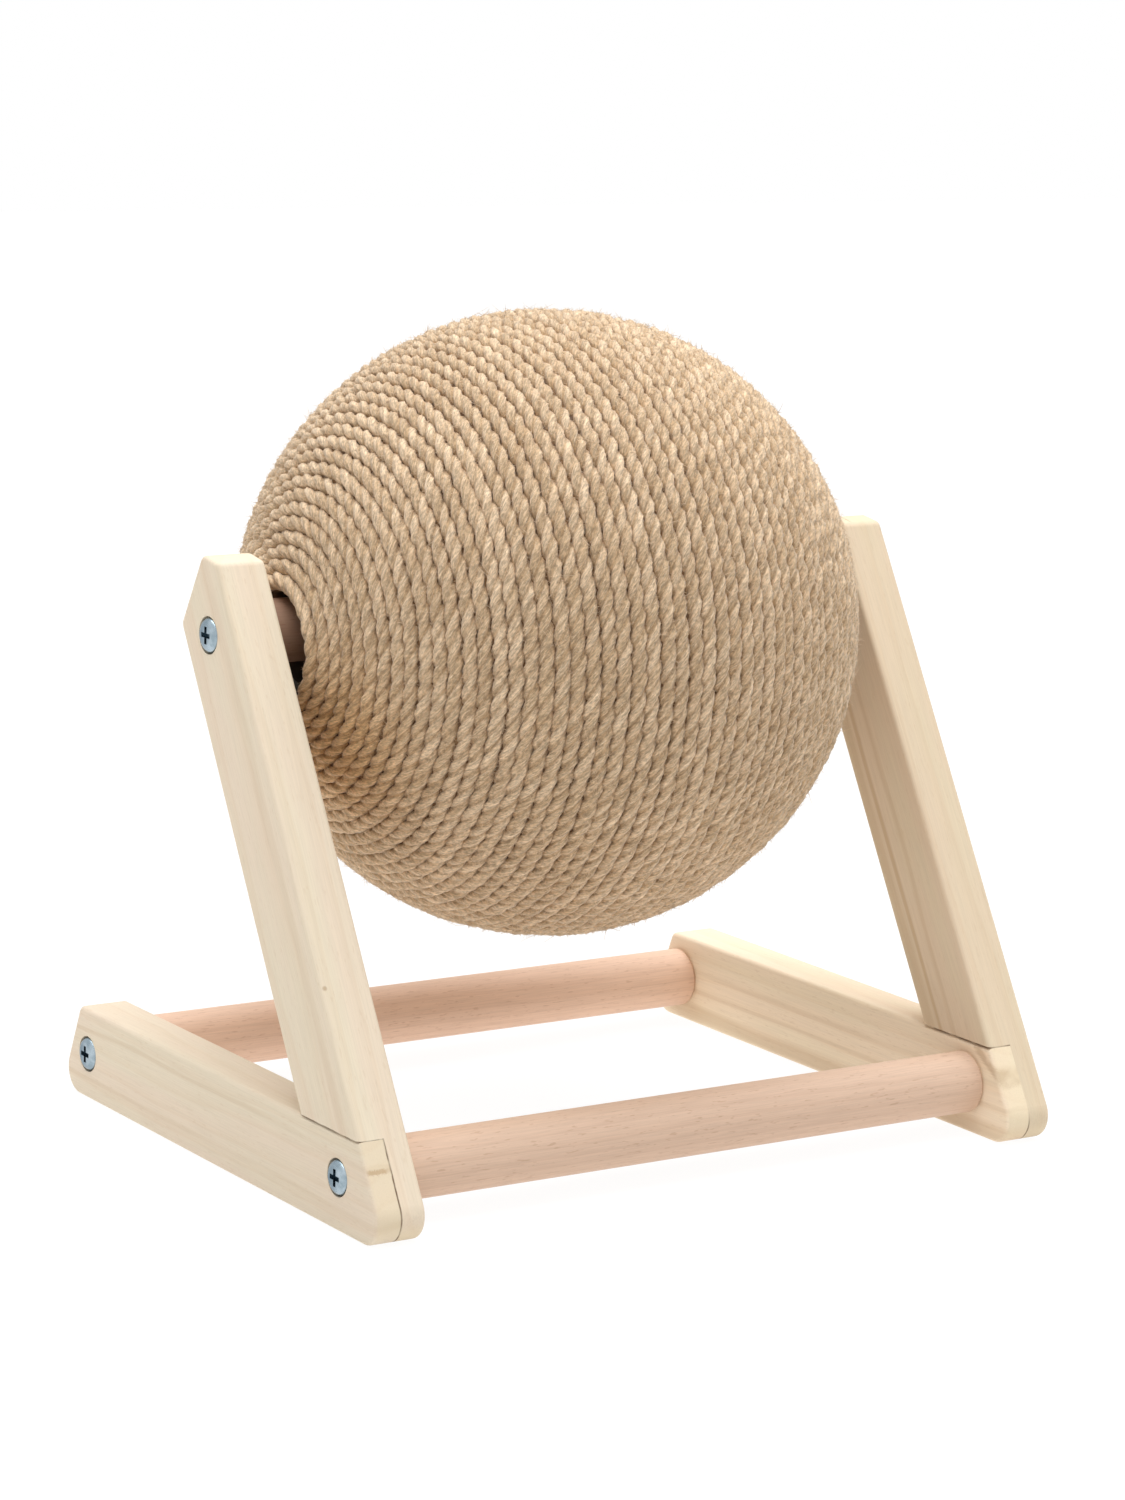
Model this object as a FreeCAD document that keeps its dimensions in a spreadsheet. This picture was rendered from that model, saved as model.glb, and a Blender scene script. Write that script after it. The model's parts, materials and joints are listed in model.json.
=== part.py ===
import FreeCAD, Part
import math
import os
import Sketcher

# A rope-wound ball hangs on a dowel between two wooden side frames and spins there.
# X runs along the axle, Y runs back and Z up. The origin is on the floor under the middle.
# Both side frames are cut alike: a rail on the floor and an upright that leans back,
# half-lapped at the front corner, with the rail's half of the lap on the -X side.

doc = FreeCAD.newDocument("ScratchingBall")
sheet = doc.addObject("Spreadsheet::Sheet", "Sizes")

# Driving sizes in millimetres and degrees
SIZES = {
    "ball_diameter": 200,
    "mouth_diameter": 32,
    "rope_diameter": 9.8,
    "rope_gap": 0.5,
    "rope_seat_gap": 0.3,
    "core_wall": 3,
    "collar_wall": 3,
    "collar_length": 18,
    "seam_lip": 5,
    "seam_clearance": 0.15,
    "sleeve_bore": 28,
    "sleeve_wall": 1.5,
    "sleeve_fit": 0.05,
    "axle_clearance": 0.1,
    "ball_shift": 3.7,
    "dowel_diameter": 20,
    "dowel_chamfer": 0.8,
    "inner_width": 217,
    "bar_thickness": 17,
    "bar_width": 30,
    "lean_angle": 30,
    "upright_length": 223,
    "tip_setback": 7.5,
    "tip_drop": 6,
    "bevel_angle": 31,
    "rail_length": 211,
    "rail_end_slant": 13,
    "corner_radius": 8,
    "tip_radius": 3,
    "edge_ease": 1.5,
    "front_screw_back": 29,
    "front_screw_height": 16.5,
    "rear_screw_inset": 19,
    "axle_inset": 23.5,
    "head_diameter": 11,
    "head_height": 2.8,
    "head_rounding": 2.2,
    "recess_span": 5.4,
    "recess_width": 1.5,
    "recess_depth": 1.5,
    "counterbore_diameter": 11.8,
    "counterbore_depth": 1.8,
    "shank_diameter": 5,
    "shank_clearance": 0.25,
    "pilot_clearance": 0.05,
    "pilot_spare": 2,
    "screw_length": 45,
    "screw_tip": 6,
}
for row, (alias, number) in enumerate(SIZES.items(), start=1):
    sheet.set(f"A{row}", alias)
    sheet.set(f"B{row}", str(number))
    sheet.setAlias(f"B{row}", alias)
doc.recompute()


def size(expression):
    """Number that an expression over the sheet stands for."""
    result = sheet.evalExpression(expression)
    return float(getattr(result, "Value", result))


# Places that several pieces share, as expressions over the sheet
LEAN = "Sizes.lean_angle"
HALF_THICK = "Sizes.bar_thickness / 2"
HALF_INSIDE = "Sizes.inner_width / 2"
BAR_MIDDLE = "Sizes.bar_width / 2"
SIDE_PLACE = f"{HALF_INSIDE} + {HALF_THICK}"
BALL_RADIUS = "Sizes.ball_diameter / 2"
CORE_RADIUS = f"({BALL_RADIUS} - Sizes.rope_diameter - Sizes.rope_seat_gap)"
COLLAR_BORE = "(Sizes.sleeve_bore / 2 + Sizes.sleeve_wall + Sizes.sleeve_fit)"
AXLE_ALONG = "(Sizes.upright_length - Sizes.axle_inset)"
AXLE_BACK = f"({AXLE_ALONG} * sin({LEAN}) + {BAR_MIDDLE} * cos({LEAN}))"
AXLE_HEIGHT = f"({AXLE_ALONG} * cos({LEAN}) - {BAR_MIDDLE} * sin({LEAN}))"
BALL_DROP = "(Sizes.sleeve_bore / 2 - Sizes.dowel_diameter / 2 - Sizes.axle_clearance)"
FRONT_REACH = f"Sizes.corner_radius * (1 / tan((90 - {LEAN}) / 2) - 1)"
MIDDLE = f"(({FRONT_REACH} + {AXLE_BACK} + {BALL_RADIUS}) / 2)"
SCREW_GRIP = "(Sizes.bar_thickness - Sizes.counterbore_depth)"
PILOT_DEPTH = f"Sizes.screw_length - {SCREW_GRIP} + Sizes.pilot_spare"

FRONT_SCREW = ("Sizes.front_screw_back", "Sizes.front_screw_height")
REAR_SCREW = ("Sizes.rail_length - Sizes.rear_screw_inset", BAR_MIDDLE)
AXLE_SCREW = (AXLE_BACK, AXLE_HEIGHT)


def place(piece, across, back, height):
    """Set a piece at a distance across, back from the front corner and above the floor."""
    piece.setExpression("Placement.Base.x", across)
    piece.setExpression("Placement.Base.y", f"{back} - {MIDDLE}")
    piece.setExpression("Placement.Base.z", height)


# Nearness that counts as the same place, and as no volume
TOUCH = 1e-3

# Sketch helpers


def new_body(label):
    body = doc.addObject("PartDesign::Body", label)
    body.Label = label
    return body


def new_sketch(body, role, offset=None):
    """Empty sketch on one of the body's own planes, moved along its normal by offset."""
    planes = {item.Role: item for item in body.Origin.OriginFeatures}
    sketch = body.newObject("Sketcher::SketchObject", "Sketch")
    sketch.AttachmentSupport = [(planes[role], "")]
    sketch.MapMode = "FlatFace"
    if offset is not None:
        sketch.setExpression("AttachmentOffset.Base.z", offset)
    return sketch


def bind(sketch, constraint, expression):
    index = sketch.addConstraint(constraint)
    sketch.renameConstraint(index, f"size{index}")
    sketch.setExpression(f"Constraints.size{index}", expression)


def pin(sketch, item, point, across, up):
    """Hold one point of a sketched item at two expressions from the sketch's origin."""
    bind(sketch, Sketcher.Constraint("DistanceX", -1, 1, item, point, size(across)), across)
    bind(sketch, Sketcher.Constraint("DistanceY", -1, 1, item, point, size(up)), up)


def polygon(sketch, corners):
    """Closed outline through corners, each a pair of expressions."""
    points = [FreeCAD.Vector(size(across), size(up), 0) for across, up in corners]
    for index, start in enumerate(points):
        sketch.addGeometry(Part.LineSegment(start, points[(index + 1) % len(points)]), False)
    for index in range(len(points)):
        sketch.addConstraint(Sketcher.Constraint("Coincident", index, 2, (index + 1) % len(points), 1))
    for index, (across, up) in enumerate(corners):
        pin(sketch, index, 1, across, up)


def circle(sketch, across, up, diameter):
    centre = FreeCAD.Vector(size(across), size(up), 0)
    item = sketch.addGeometry(Part.Circle(centre, FreeCAD.Vector(0, 0, 1), size(diameter) / 2), False)
    pin(sketch, item, 3, across, up)
    bind(sketch, Sketcher.Constraint("Diameter", item, size(diameter)), diameter)


# Feature helpers


def pad_both_ways(body, sketch, length):
    pad = body.newObject("PartDesign::Pad", "Pad")
    pad.Profile = sketch
    pad.SideType = "Symmetric"
    pad.setExpression("Length", length)
    doc.recompute()
    return pad


def must_remove(body, before):
    """A cut that points away from its solid leaves the volume as it was."""
    doc.recompute()
    if body.Shape.Volume > before - TOUCH:
        raise RuntimeError(f"a cut in {body.Label} removed nothing")


def pocket(body, sketch, towards_plus, depth=None):
    """Cut a sketched shape along the sketch's normal, to a depth or right through."""
    before = body.Shape.Volume
    cut = body.newObject("PartDesign::Pocket", "Pocket")
    cut.Profile = sketch
    cut.Reversed = towards_plus
    if depth is None:
        cut.Type = "ThroughAll"
    else:
        cut.setExpression("Length", depth)
    must_remove(body, before)


def round_edges(body, kind, edges, property_name, amount):
    base = body.Tip
    feature = body.newObject(f"PartDesign::{kind}", kind)
    feature.Base = (base, edges)
    feature.setExpression(property_name, amount)
    doc.recompute()


def edges_where(body, wanted):
    """Names of the body's edges whose end points all pass the test."""
    names = []
    for number, edge in enumerate(body.Shape.Edges, start=1):
        if all(wanted(vertex.Point) for vertex in edge.Vertexes):
            names.append(f"Edge{number}")
    return names


def edges_across(body, expression):
    """Names of the edges that lie in a plane across X."""
    place = size(expression)
    return edges_where(body, lambda p: abs(p.x - place) < TOUCH)


def drill(body, spot, plane, towards_plus, diameter, depth=None, counterbored=False):
    """Round hole along X from a plane across the body, through or to a depth."""
    sketch = new_sketch(body, "YZ_Plane", plane)
    circle(sketch, spot[0], spot[1], diameter)
    doc.recompute()
    before = body.Shape.Volume
    hole = body.newObject("PartDesign::Hole", "Hole")
    hole.Profile = sketch
    hole.Reversed = towards_plus
    hole.ThreadType = "None"
    hole.setExpression("Diameter", diameter)
    hole.DrillPoint = "Flat"
    if depth is None:
        hole.DepthType = "ThroughAll"
    else:
        hole.DepthType = "Dimension"
        hole.setExpression("Depth", depth)
    if counterbored:
        hole.HoleCutType = "Counterbore"
        hole.HoleCutCustomValues = True
        hole.setExpression("HoleCutDiameter", "Sizes.counterbore_diameter")
        hole.setExpression("HoleCutDepth", "Sizes.counterbore_depth")
    must_remove(body, before)
    return hole


# Side frames: outlines in the plane of a frame, from the sharp front corner on the floor


def on_upright(along, across):
    """Point of the upright, from its foot along it and from its front face across it."""
    back = f"({along}) * sin({LEAN}) + ({across}) * cos({LEAN})"
    height = f"({along}) * cos({LEAN}) - ({across}) * sin({LEAN})"
    return back, height


WIDTH = "Sizes.bar_width"
FOOT_LENGTH = f"{WIDTH} / cos({LEAN})"
LAP_SHIFT = f"{WIDTH} * tan({LEAN})"
BEVEL_END = f"Sizes.upright_length - ({WIDTH} - Sizes.tip_setback) * tan(Sizes.bevel_angle)"
OVERCUT = WIDTH

RAIL_OUTLINE = {
    "front foot": ("0", "0"),
    "rear foot": ("Sizes.rail_length", "0"),
    "rear top": ("Sizes.rail_length - Sizes.rail_end_slant", WIDTH),
    "front top": (LAP_SHIFT, WIDTH),
}
UPRIGHT_OUTLINE = {
    "front foot": ("0", "0"),
    "rear foot": (FOOT_LENGTH, "0"),
    "bevel foot": on_upright(BEVEL_END, WIDTH),
    "tip": on_upright("Sizes.upright_length", "Sizes.tip_setback"),
    "front top": on_upright("Sizes.upright_length - Sizes.tip_drop", "0"),
}
RAIL_ROUNDS = {"Sizes.corner_radius": ["front foot", "rear foot"], "Sizes.tip_radius": ["rear top"]}
UPRIGHT_ROUNDS = {
    "Sizes.corner_radius": ["front foot"],
    "Sizes.tip_radius": ["bevel foot", "tip", "front top"],
}

# The rail loses its +X half ahead of the upright's rear face, the upright its -X half below the rail's top
RAIL_LAP = [
    (f"-({OVERCUT})", f"-({OVERCUT})"),
    (f"{FOOT_LENGTH} - {OVERCUT} * tan({LEAN})", f"-({OVERCUT})"),
    (f"{FOOT_LENGTH} + 2 * {LAP_SHIFT}", f"2 * {WIDTH}"),
    (f"-({OVERCUT})", f"2 * {WIDTH}"),
]
UPRIGHT_LAP = [
    (f"-({OVERCUT})", f"-({OVERCUT})"),
    (f"3 * {WIDTH}", f"-({OVERCUT})"),
    (f"3 * {WIDTH}", WIDTH),
    (f"-({OVERCUT})", WIDTH),
]


def side_bar(label, side, outline, rounds, lap, lap_towards_plus, spots):
    """One bar of a side frame: outline, rounded corners, eased edges, lap and screw holes.

    side is -1 or 1 for the left or right frame. Each of the spots is a place for a screw
    and whether its head sinks into this bar."""
    body = new_body(label)
    sketch = new_sketch(body, "YZ_Plane")
    polygon(sketch, list(outline.values()))
    pad_both_ways(body, sketch, "Sizes.bar_thickness")
    for radius, corners in rounds.items():
        edges = []
        for corner in corners:
            back, height = [size(place) for place in outline[corner]]
            edges += edges_where(body, lambda p: math.hypot(p.y - back, p.z - height) < TOUCH)
        round_edges(body, "Fillet", edges, "Radius", radius)
    outer_edges = edges_across(body, f"-({HALF_THICK})") + edges_across(body, HALF_THICK)
    round_edges(body, "Fillet", outer_edges, "Radius", "Sizes.edge_ease")
    lap_sketch = new_sketch(body, "YZ_Plane")
    polygon(lap_sketch, lap)
    pocket(body, lap_sketch, lap_towards_plus)
    outer_plane = f"{side} * {HALF_THICK}"
    clearance_hole = "Sizes.shank_diameter + 2 * Sizes.shank_clearance"
    for spot, sinks_head in spots:
        drill(body, spot, outer_plane, side < 0, clearance_hole, counterbored=sinks_head)
    place(body, f"{side} * ({SIDE_PLACE})", "0", "0")
    return body


pieces = []
for name, side in (("left", -1), ("right", 1)):
    rail_spots = [(FRONT_SCREW, side < 0), (REAR_SCREW, True)]
    upright_spots = [(FRONT_SCREW, side > 0), (AXLE_SCREW, True)]
    pieces.append(side_bar(f"{name}_rail", side, RAIL_OUTLINE, RAIL_ROUNDS, RAIL_LAP, True, rail_spots))
    pieces.append(
        side_bar(f"{name}_upright", side, UPRIGHT_OUTLINE, UPRIGHT_ROUNDS, UPRIGHT_LAP, False, upright_spots)
    )

# Dowels between the side frames, drilled at both ends for the screws


def dowel(label, spot):
    body = new_body(label)
    sketch = new_sketch(body, "YZ_Plane")
    circle(sketch, "0", "0", "Sizes.dowel_diameter")
    pad_both_ways(body, sketch, "Sizes.inner_width")
    ends = edges_across(body, f"-({HALF_INSIDE})") + edges_across(body, HALF_INSIDE)
    round_edges(body, "Chamfer", ends, "Size", "Sizes.dowel_chamfer")
    pilot = "Sizes.shank_diameter + 2 * Sizes.pilot_clearance"
    hole = drill(body, ("0", "0"), HALF_INSIDE, False, pilot, depth=PILOT_DEPTH)
    before = body.Shape.Volume
    planes = {item.Role: item for item in body.Origin.OriginFeatures}
    mirror = body.newObject("PartDesign::Mirrored", "Mirrored")
    mirror.Originals = [hole]
    mirror.MirrorPlane = (planes["YZ_Plane"], [""])
    body.Tip = mirror
    must_remove(body, before)
    place(body, "0", spot[0], spot[1])
    return body


for name, spot in (("front", FRONT_SCREW), ("rear", REAR_SCREW), ("axle", AXLE_SCREW)):
    pieces.append(dowel(f"{name}_dowel", spot))

# Pan-head screws, whose heads sit on the floors of shallow counterbores and stand a little proud


def screw(label, side, spot):
    body = new_body(label)
    section = new_sketch(body, "XY_Plane")
    head = "Sizes.head_diameter / 2"
    shank = "Sizes.shank_diameter / 2"
    corners = [
        ("-Sizes.head_height", "0"),
        ("-Sizes.head_height", head),
        ("0", head),
        ("0", shank),
        ("Sizes.screw_length - Sizes.screw_tip", shank),
        ("Sizes.screw_length", "0"),
    ]
    polygon(section, corners)
    turned = body.newObject("PartDesign::Revolution", "Revolution")
    turned.Profile = section
    turned.ReferenceAxis = (section, ["H_Axis"])
    turned.Angle = 360
    doc.recompute()
    rim = edges_across(body, "-Sizes.head_height")
    round_edges(body, "Fillet", rim, "Radius", "Sizes.head_rounding")
    recess = new_sketch(body, "YZ_Plane", "-Sizes.head_height")
    arm = "Sizes.recess_span / 2"
    slot = "Sizes.recess_width / 2"
    quarter = [(arm, slot), (slot, slot), (slot, arm)]
    turns = [(1, 1), (-1, 1), (-1, -1), (1, -1)]
    cross = []
    for index, (across, up) in enumerate(turns):
        step = quarter if index % 2 == 0 else quarter[::-1]
        cross += [(f"{across} * {a}", f"{up} * {b}") for a, b in step]
    polygon(recess, cross)
    pocket(body, recess, True, "Sizes.recess_depth")
    if side > 0:
        body.Placement.Rotation = FreeCAD.Rotation(FreeCAD.Vector(0, 0, 1), 180)
    place(body, f"{side} * ({HALF_INSIDE} + {SCREW_GRIP})", spot[0], spot[1])
    return body


for name, spot in (("front", FRONT_SCREW), ("rear", REAR_SCREW), ("axle", AXLE_SCREW)):
    pieces.append(screw(f"{name}_left_screw", -1, spot))
    pieces.append(screw(f"{name}_right_screw", 1, spot))

# Ball: its bore is wider than the axle, so it hangs there with its middle below the axle's. It is
# narrower than the stand, has room to slide along the axle, and rests a little to the left.
BALL_PLACE = ("-Sizes.ball_shift", AXLE_BACK, f"{AXLE_HEIGHT} - {BALL_DROP}")


def solid_of_turning(kind, radius, bottom=None, length=None):
    """Part of the core about its own Z axis: half a sphere, or a cylinder from bottom up."""
    item = doc.addObject(f"Part::{kind}", kind)
    item.setExpression("Radius", radius)
    if kind == "Sphere":
        item.Angle1 = 0
    else:
        item.setExpression("Placement.Base.z", bottom)
        item.setExpression("Height", length)
    return item


def joined(kind, base, tool):
    result = doc.addObject(f"Part::{kind}", kind)
    result.Base = base
    result.Tool = tool
    return result


def core_shell(label, side):
    """Hollow half ball with a collar round the sleeve. The left half carries the lip of the seam."""
    inside = f"({CORE_RADIUS} - Sizes.core_wall)"
    seam = f"({CORE_RADIUS} - Sizes.core_wall / 2)"
    outer = solid_of_turning("Sphere", CORE_RADIUS)
    wall = joined("Cut", outer, solid_of_turning("Sphere", inside))
    collar_radius = f"{COLLAR_BORE} + Sizes.collar_wall"
    collar_foot = f"{inside} - Sizes.collar_length"
    rod = solid_of_turning("Cylinder", collar_radius, collar_foot, f"Sizes.collar_length + {CORE_RADIUS}")
    collar = joined("Common", rod, solid_of_turning("Sphere", CORE_RADIUS))
    shell = joined("Fuse", wall, collar)
    shell = joined("Cut", shell, solid_of_turning("Cylinder", COLLAR_BORE, "0", f"2 * {CORE_RADIUS}"))
    if side < 0:
        overlap = "Sizes.core_wall"
        reach = f"Sizes.seam_lip + {overlap}"
        lip_outer = solid_of_turning("Cylinder", f"{seam} - Sizes.seam_clearance", "-Sizes.seam_lip", reach)
        lip_inner = solid_of_turning("Cylinder", inside, "-Sizes.seam_lip", reach)
        shell = joined("Fuse", shell, joined("Cut", lip_outer, lip_inner))
    else:
        rabbet = solid_of_turning("Cylinder", seam, "0", "Sizes.seam_lip + Sizes.seam_clearance")
        shell = joined("Cut", shell, rabbet)
    shell.Label = label
    shell.Placement.Rotation = FreeCAD.Rotation(FreeCAD.Vector(0, 1, 0), side * 90)
    place(shell, *BALL_PLACE)
    return shell


pieces.append(core_shell("left_core_shell", -1))
pieces.append(core_shell("right_core_shell", 1))

sleeve = new_body("core_sleeve")
sleeve_sketch = new_sketch(sleeve, "YZ_Plane")
circle(sleeve_sketch, "0", "0", "Sizes.sleeve_bore + 2 * Sizes.sleeve_wall")
circle(sleeve_sketch, "0", "0", "Sizes.sleeve_bore")
pad_both_ways(sleeve, sleeve_sketch, f"2 * sqrt({CORE_RADIUS}^2 - {COLLAR_BORE}^2)")
place(sleeve, *BALL_PLACE)
pieces.append(sleeve)

# Rope: one unbroken length wound from the left pole to the right one, in loops thicker than the
# real cord's, which goes round nearly sixty times. Each quarter turn is a pair of tangent arcs.
rope_size = size("Sizes.rope_diameter")
wound_radius = size(BALL_RADIUS) - rope_size / 2
first_radius = size("Sizes.mouth_diameter") / 2 + rope_size / 2
first_angle = math.asin(first_radius / wound_radius)
# A straight end leaves the circle of the first loop, so the second loop starts that much further out
end_room = 1.25 * (math.hypot(first_radius, rope_size) - first_radius) / wound_radius
sweep = math.pi - 2 * first_angle - 2 * end_room
loops = int(sweep * wound_radius / (rope_size + size("Sizes.rope_gap")))
turn_step = sweep / loops


def eased(share):
    """Smooth step from 0 to 1 and its slope."""
    share = min(max(share, 0), 1)
    return share * share * (3 - 2 * share), 6 * share * (1 - share)


def winding(turn):
    """Point and direction of the rope after a number of turns."""
    opening, opening_slope = eased(turn)
    closing, closing_slope = eased(turn - loops + 1)
    polar = first_angle + turn_step * turn + end_room * (opening + closing)
    polar_slope = (turn_step + end_room * (opening_slope + closing_slope)) / (2 * math.pi)
    around = 2 * math.pi * turn
    sine, cosine = math.sin(polar), math.cos(polar)
    point = FreeCAD.Vector(-cosine, sine * math.cos(around), sine * math.sin(around)) * wound_radius
    along = FreeCAD.Vector(
        sine * polar_slope,
        cosine * math.cos(around) * polar_slope - sine * math.sin(around),
        cosine * math.sin(around) * polar_slope + sine * math.cos(around),
    )
    return point, along.normalize()


def arc_through(start, corner, end):
    """Arc that leaves start towards corner and reaches end from it."""
    spread = (end - start).Length / 2
    weight = spread / (corner - start).Length
    middle = (start + end + corner * (2 * weight)) * (1 / (2 + 2 * weight))
    return Part.Arc(start, middle, end).toShape()


def pair_of_arcs(start, start_way, end, end_way):
    """Two arcs, tangent to each other and to the ways at both ends."""
    chord = end - start
    both = start_way + end_way
    turning = 2 * (1 - start_way.dot(end_way))
    lean = chord.dot(both)
    reach = (math.sqrt(lean * lean + turning * chord.dot(chord)) - lean) / turning
    first = start + start_way * reach
    second = end - end_way * reach
    joint = (first + second) * 0.5
    return [arc_through(start, first, joint), arc_through(joint, second, end)]


stations = [winding(quarter / 4) for quarter in range(4 * loops + 1)]
rope_start = stations[0][0] - stations[0][1] * rope_size
rope_end = stations[-1][0] + stations[-1][1] * rope_size
path = [Part.LineSegment(rope_start, stations[0][0]).toShape()]
for (start, start_way), (end, end_way) in zip(stations, stations[1:]):
    path += pair_of_arcs(start, start_way, end, end_way)
path.append(Part.LineSegment(stations[-1][0], rope_end).toShape())
route = Part.Wire(path)
section = Part.Wire(Part.makeCircle(rope_size / 2, rope_start, stations[0][1]))
rope = doc.addObject("Part::Feature", "rope_winding")
rope.Label = "rope_winding"
rope.Shape = route.makePipeShell([section], True, False)
place(rope, *BALL_PLACE)
pieces.append(rope)

# Room between neighbouring loops, measured on points of the path
points = [point for edge in path for point in edge.discretize(12)]
turn_points = len(points) // loops
least = min(
    here.distanceToPoint(there)
    for index, here in enumerate(points)
    for there in points[index + turn_points // 2 : index + 3 * turn_points // 2]
)
swept = math.pi * rope_size**2 / 4 * route.Length
print(f"rope: {loops} loops, {route.Length / 1000:.2f} m, least gap {least - rope_size:.2f} mm")
print(f"rope: volume over section times length {rope.Shape.Volume / swept:.4f}")

# Every piece is whole before anything is written
doc.recompute()
for item in doc.Objects:
    if "Invalid" in item.State or "Error" in item.State:
        raise RuntimeError(f"{item.Label} failed: {item.State}")
for piece in pieces:
    if piece.Shape.isNull() or not piece.Shape.isValid() or len(piece.Shape.Solids) != 1:
        raise RuntimeError(f"{piece.Label} is not one valid solid")

os.makedirs("parts", exist_ok=True)
for piece in pieces:
    piece.Shape.exportStep(f"parts/{piece.Label}.step")
    box = piece.Shape.BoundBox
    print(f"{piece.Label}: {piece.Shape.Volume / 1000:.2f} cm3, Z {box.ZMin:.2f} to {box.ZMax:.2f}")
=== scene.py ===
# %% [markdown]
# # A rope ball that spins in a wooden stand
#
# The object is a ball wound with jute rope, hung on a dowel between two leaning wooden frames, for a
# cat to scratch and spin. The solids of the frames, dowels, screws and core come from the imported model
# and keep their shape. This lesson gives them wood, metal and plastic, and winds the rope round the
# ball turn by turn, because a rope is what everybody looks at here.

# %% Load the solids
import json
import math
from types import SimpleNamespace

import bpy
import numpy as np
from mathutils import Matrix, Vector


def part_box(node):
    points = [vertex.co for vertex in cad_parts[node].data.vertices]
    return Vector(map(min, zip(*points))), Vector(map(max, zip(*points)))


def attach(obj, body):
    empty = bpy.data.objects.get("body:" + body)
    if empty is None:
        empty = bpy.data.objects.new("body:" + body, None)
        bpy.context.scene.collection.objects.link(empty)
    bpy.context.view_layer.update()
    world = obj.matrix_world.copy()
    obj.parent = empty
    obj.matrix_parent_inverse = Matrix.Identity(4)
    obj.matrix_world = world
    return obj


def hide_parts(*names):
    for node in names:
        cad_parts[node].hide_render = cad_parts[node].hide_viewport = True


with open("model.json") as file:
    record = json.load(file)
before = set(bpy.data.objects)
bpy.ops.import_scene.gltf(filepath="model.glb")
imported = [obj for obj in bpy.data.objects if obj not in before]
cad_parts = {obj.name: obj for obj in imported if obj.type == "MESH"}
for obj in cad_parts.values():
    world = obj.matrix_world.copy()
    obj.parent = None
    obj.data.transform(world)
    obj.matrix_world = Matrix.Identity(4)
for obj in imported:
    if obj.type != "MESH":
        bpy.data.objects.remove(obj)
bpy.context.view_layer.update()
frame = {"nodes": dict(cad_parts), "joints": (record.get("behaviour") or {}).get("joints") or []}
nodes = frame["nodes"]
scene = bpy.context.scene
MM = 0.001

# %% [markdown]
# ## The camera
#
# The camera stands to the left and a little above, with a long lens, so that the frames lean little
# towards each other. Its place comes from the straight edges of the bars. Blender wants a camera's own
# axes as the columns of a matrix: right, up, and backwards.

# %% Set up the camera
CAMERA_PLACE = np.array([-729.0, -1118.4, 376.2]) * MM
TURN, TILT, ROLL = np.radians([-33.164, -10.851, 1.611])
FOCAL_LENGTH, SENSOR_WIDTH = 101.66, 36.0
UP = np.array([0.0, 0.0, 1.0])


def unit(vectors):
    """Vectors scaled to length one."""
    return vectors / np.linalg.norm(vectors, axis=-1, keepdims=True)


def standing(place, right, upward, backward):
    """The matrix of a camera or lamp: its own three axes and its place, as columns."""
    stand = np.eye(4)
    stand[:3] = np.column_stack([right, upward, backward, place])
    return Matrix(stand.tolist())


forward = np.array([-math.sin(TURN) * math.cos(TILT), math.cos(TURN) * math.cos(TILT), math.sin(TILT)])
level = unit(np.cross(forward, UP))
rise = np.cross(level, forward)
right = level * math.cos(ROLL) + rise * math.sin(ROLL)
upward = rise * math.cos(ROLL) - level * math.sin(ROLL)
lens = bpy.data.cameras.new("camera")
lens.lens = FOCAL_LENGTH
lens.sensor_width = SENSOR_WIDTH
camera = bpy.data.objects.new("camera", lens)
camera.matrix_world = standing(CAMERA_PLACE, right, upward, -forward)
scene.collection.objects.link(camera)
scene.camera = camera
scene.view_settings.view_transform = "Standard"
print("camera", round(float(np.linalg.norm(CAMERA_PLACE)), 2), "m from the object's foot")

# %% [markdown]
# ## Helpers for nodes
#
# A world or a material is a small network. `put` adds one node, sets its options and fills its sockets,
# either with a value or with a wire from another node. The others are short names for common nodes, and
# most give back the wire that leads on.

# %% Define the helpers for nodes
def fill(tree, socket, value):
    """Wires a socket to another node's output, or sets it to a plain value."""
    if isinstance(value, bpy.types.NodeSocket):
        tree.links.new(value, socket)
    else:
        socket.default_value = value


def put(tree, kind, sockets=None, **options):
    """Adds a node of that kind, sets its options and fills its sockets."""
    made = tree.nodes.new("ShaderNode" + kind)
    for option, value in options.items():
        setattr(made, option, value)
    for socket, value in (sockets or {}).items():
        fill(tree, made.inputs[socket], value)
    return made


def math_step(tree, operation, first, second=0.0, clamp=False):
    """One step of arithmetic on two numbers or wires."""
    return put(tree, "Math", {0: first, 1: second}, operation=operation, use_clamp=clamp).outputs[0]


def ramped(tree, value, low, high, start=0.0, end=1.0):
    """A value carried smoothly from the range low..high to start..end."""
    sockets = {"Value": value, "From Min": low, "From Max": high, "To Min": start, "To Max": end}
    return put(tree, "MapRange", sockets, interpolation_type="SMOOTHSTEP").outputs[0]


def axes_of(tree, vector):
    """The three numbers of a vector."""
    return put(tree, "SeparateXYZ", {0: vector}).outputs


def object_place(tree):
    """Where a point lies in its object's own coordinates."""
    return put(tree, "TexCoord").outputs["Object"]


def empty_tree(owner):
    """The node tree of a world or material, emptied."""
    owner.use_nodes = True
    owner.node_tree.nodes.clear()
    return owner.node_tree


print("helpers for nodes ready")

# %% [markdown]
# ## A white sky
#
# The stand is shown on white, in soft light from a sky, a floor and a lamp. The sky is dim at the horizon
# and bright overhead, like a studio with a lit ceiling. The camera, and anything shiny, sees plain white
# instead. A light path node tells the two kinds of ray apart, so that one world can be both.

# %% Set the sky
WARM_WHITE, WHITE = (1.0, 0.985, 0.965, 1.0), (1.0, 1.0, 1.0, 1.0)
HORIZON, OVERHEAD = 0.083, 1.07


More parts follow.
